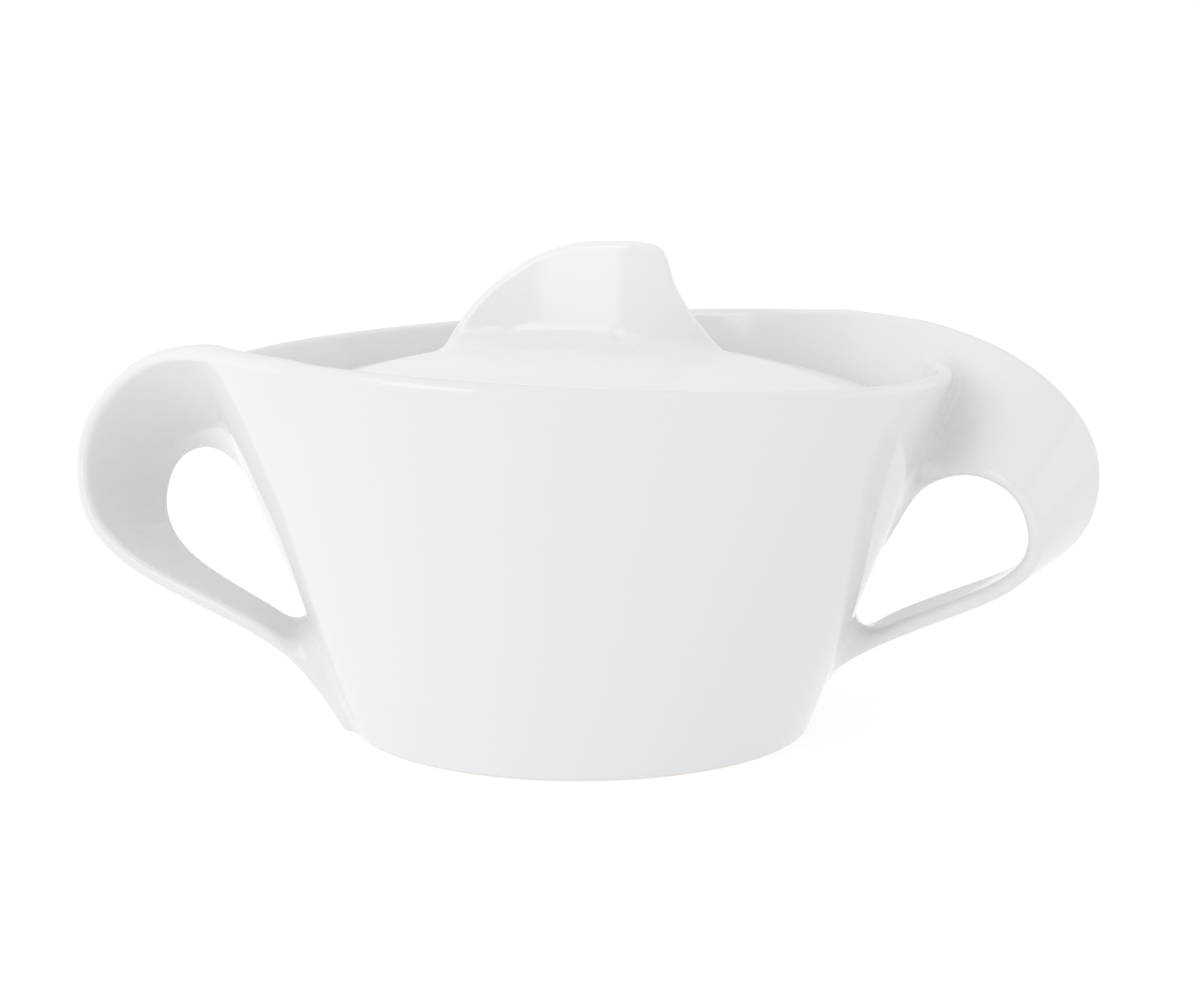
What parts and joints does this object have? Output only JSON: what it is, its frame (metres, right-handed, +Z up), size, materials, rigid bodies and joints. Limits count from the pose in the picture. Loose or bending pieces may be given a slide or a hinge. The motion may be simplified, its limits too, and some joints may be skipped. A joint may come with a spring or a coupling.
{
  "type": "sugar bowl",
  "caption": "Oval lidded bowl whose tilted rim runs out into twisted ribbon loop handles at its ends, with a domed lift-off lid carrying a thin fin-shaped knob.",
  "frame": {"origin": "on the resting plane, under the middle of the bowl", "axes": "+Z up, +X along the line through the handles, +Y to the back; the bowl repeats after half a turn about Z"},
  "size_m": [0.17, 0.0998, 0.0802],
  "materials": {
    "glazed_porcelain": "glossy clear glaze over a white body"
  },
  "bodies": {
    "bowl": {"bowl_body": "glazed_porcelain", "handle_left": "glazed_porcelain", "handle_right": "glazed_porcelain"},
    "lid": {"lid_cover": "glazed_porcelain", "lid_knob": "glazed_porcelain"}
  },
  "joints": [
    {"name": "lid_lift", "type": "slide", "parent": "bowl", "child": "lid", "axis": [0, 0, 1], "range_m": [0, 0.06]}
  ]
}
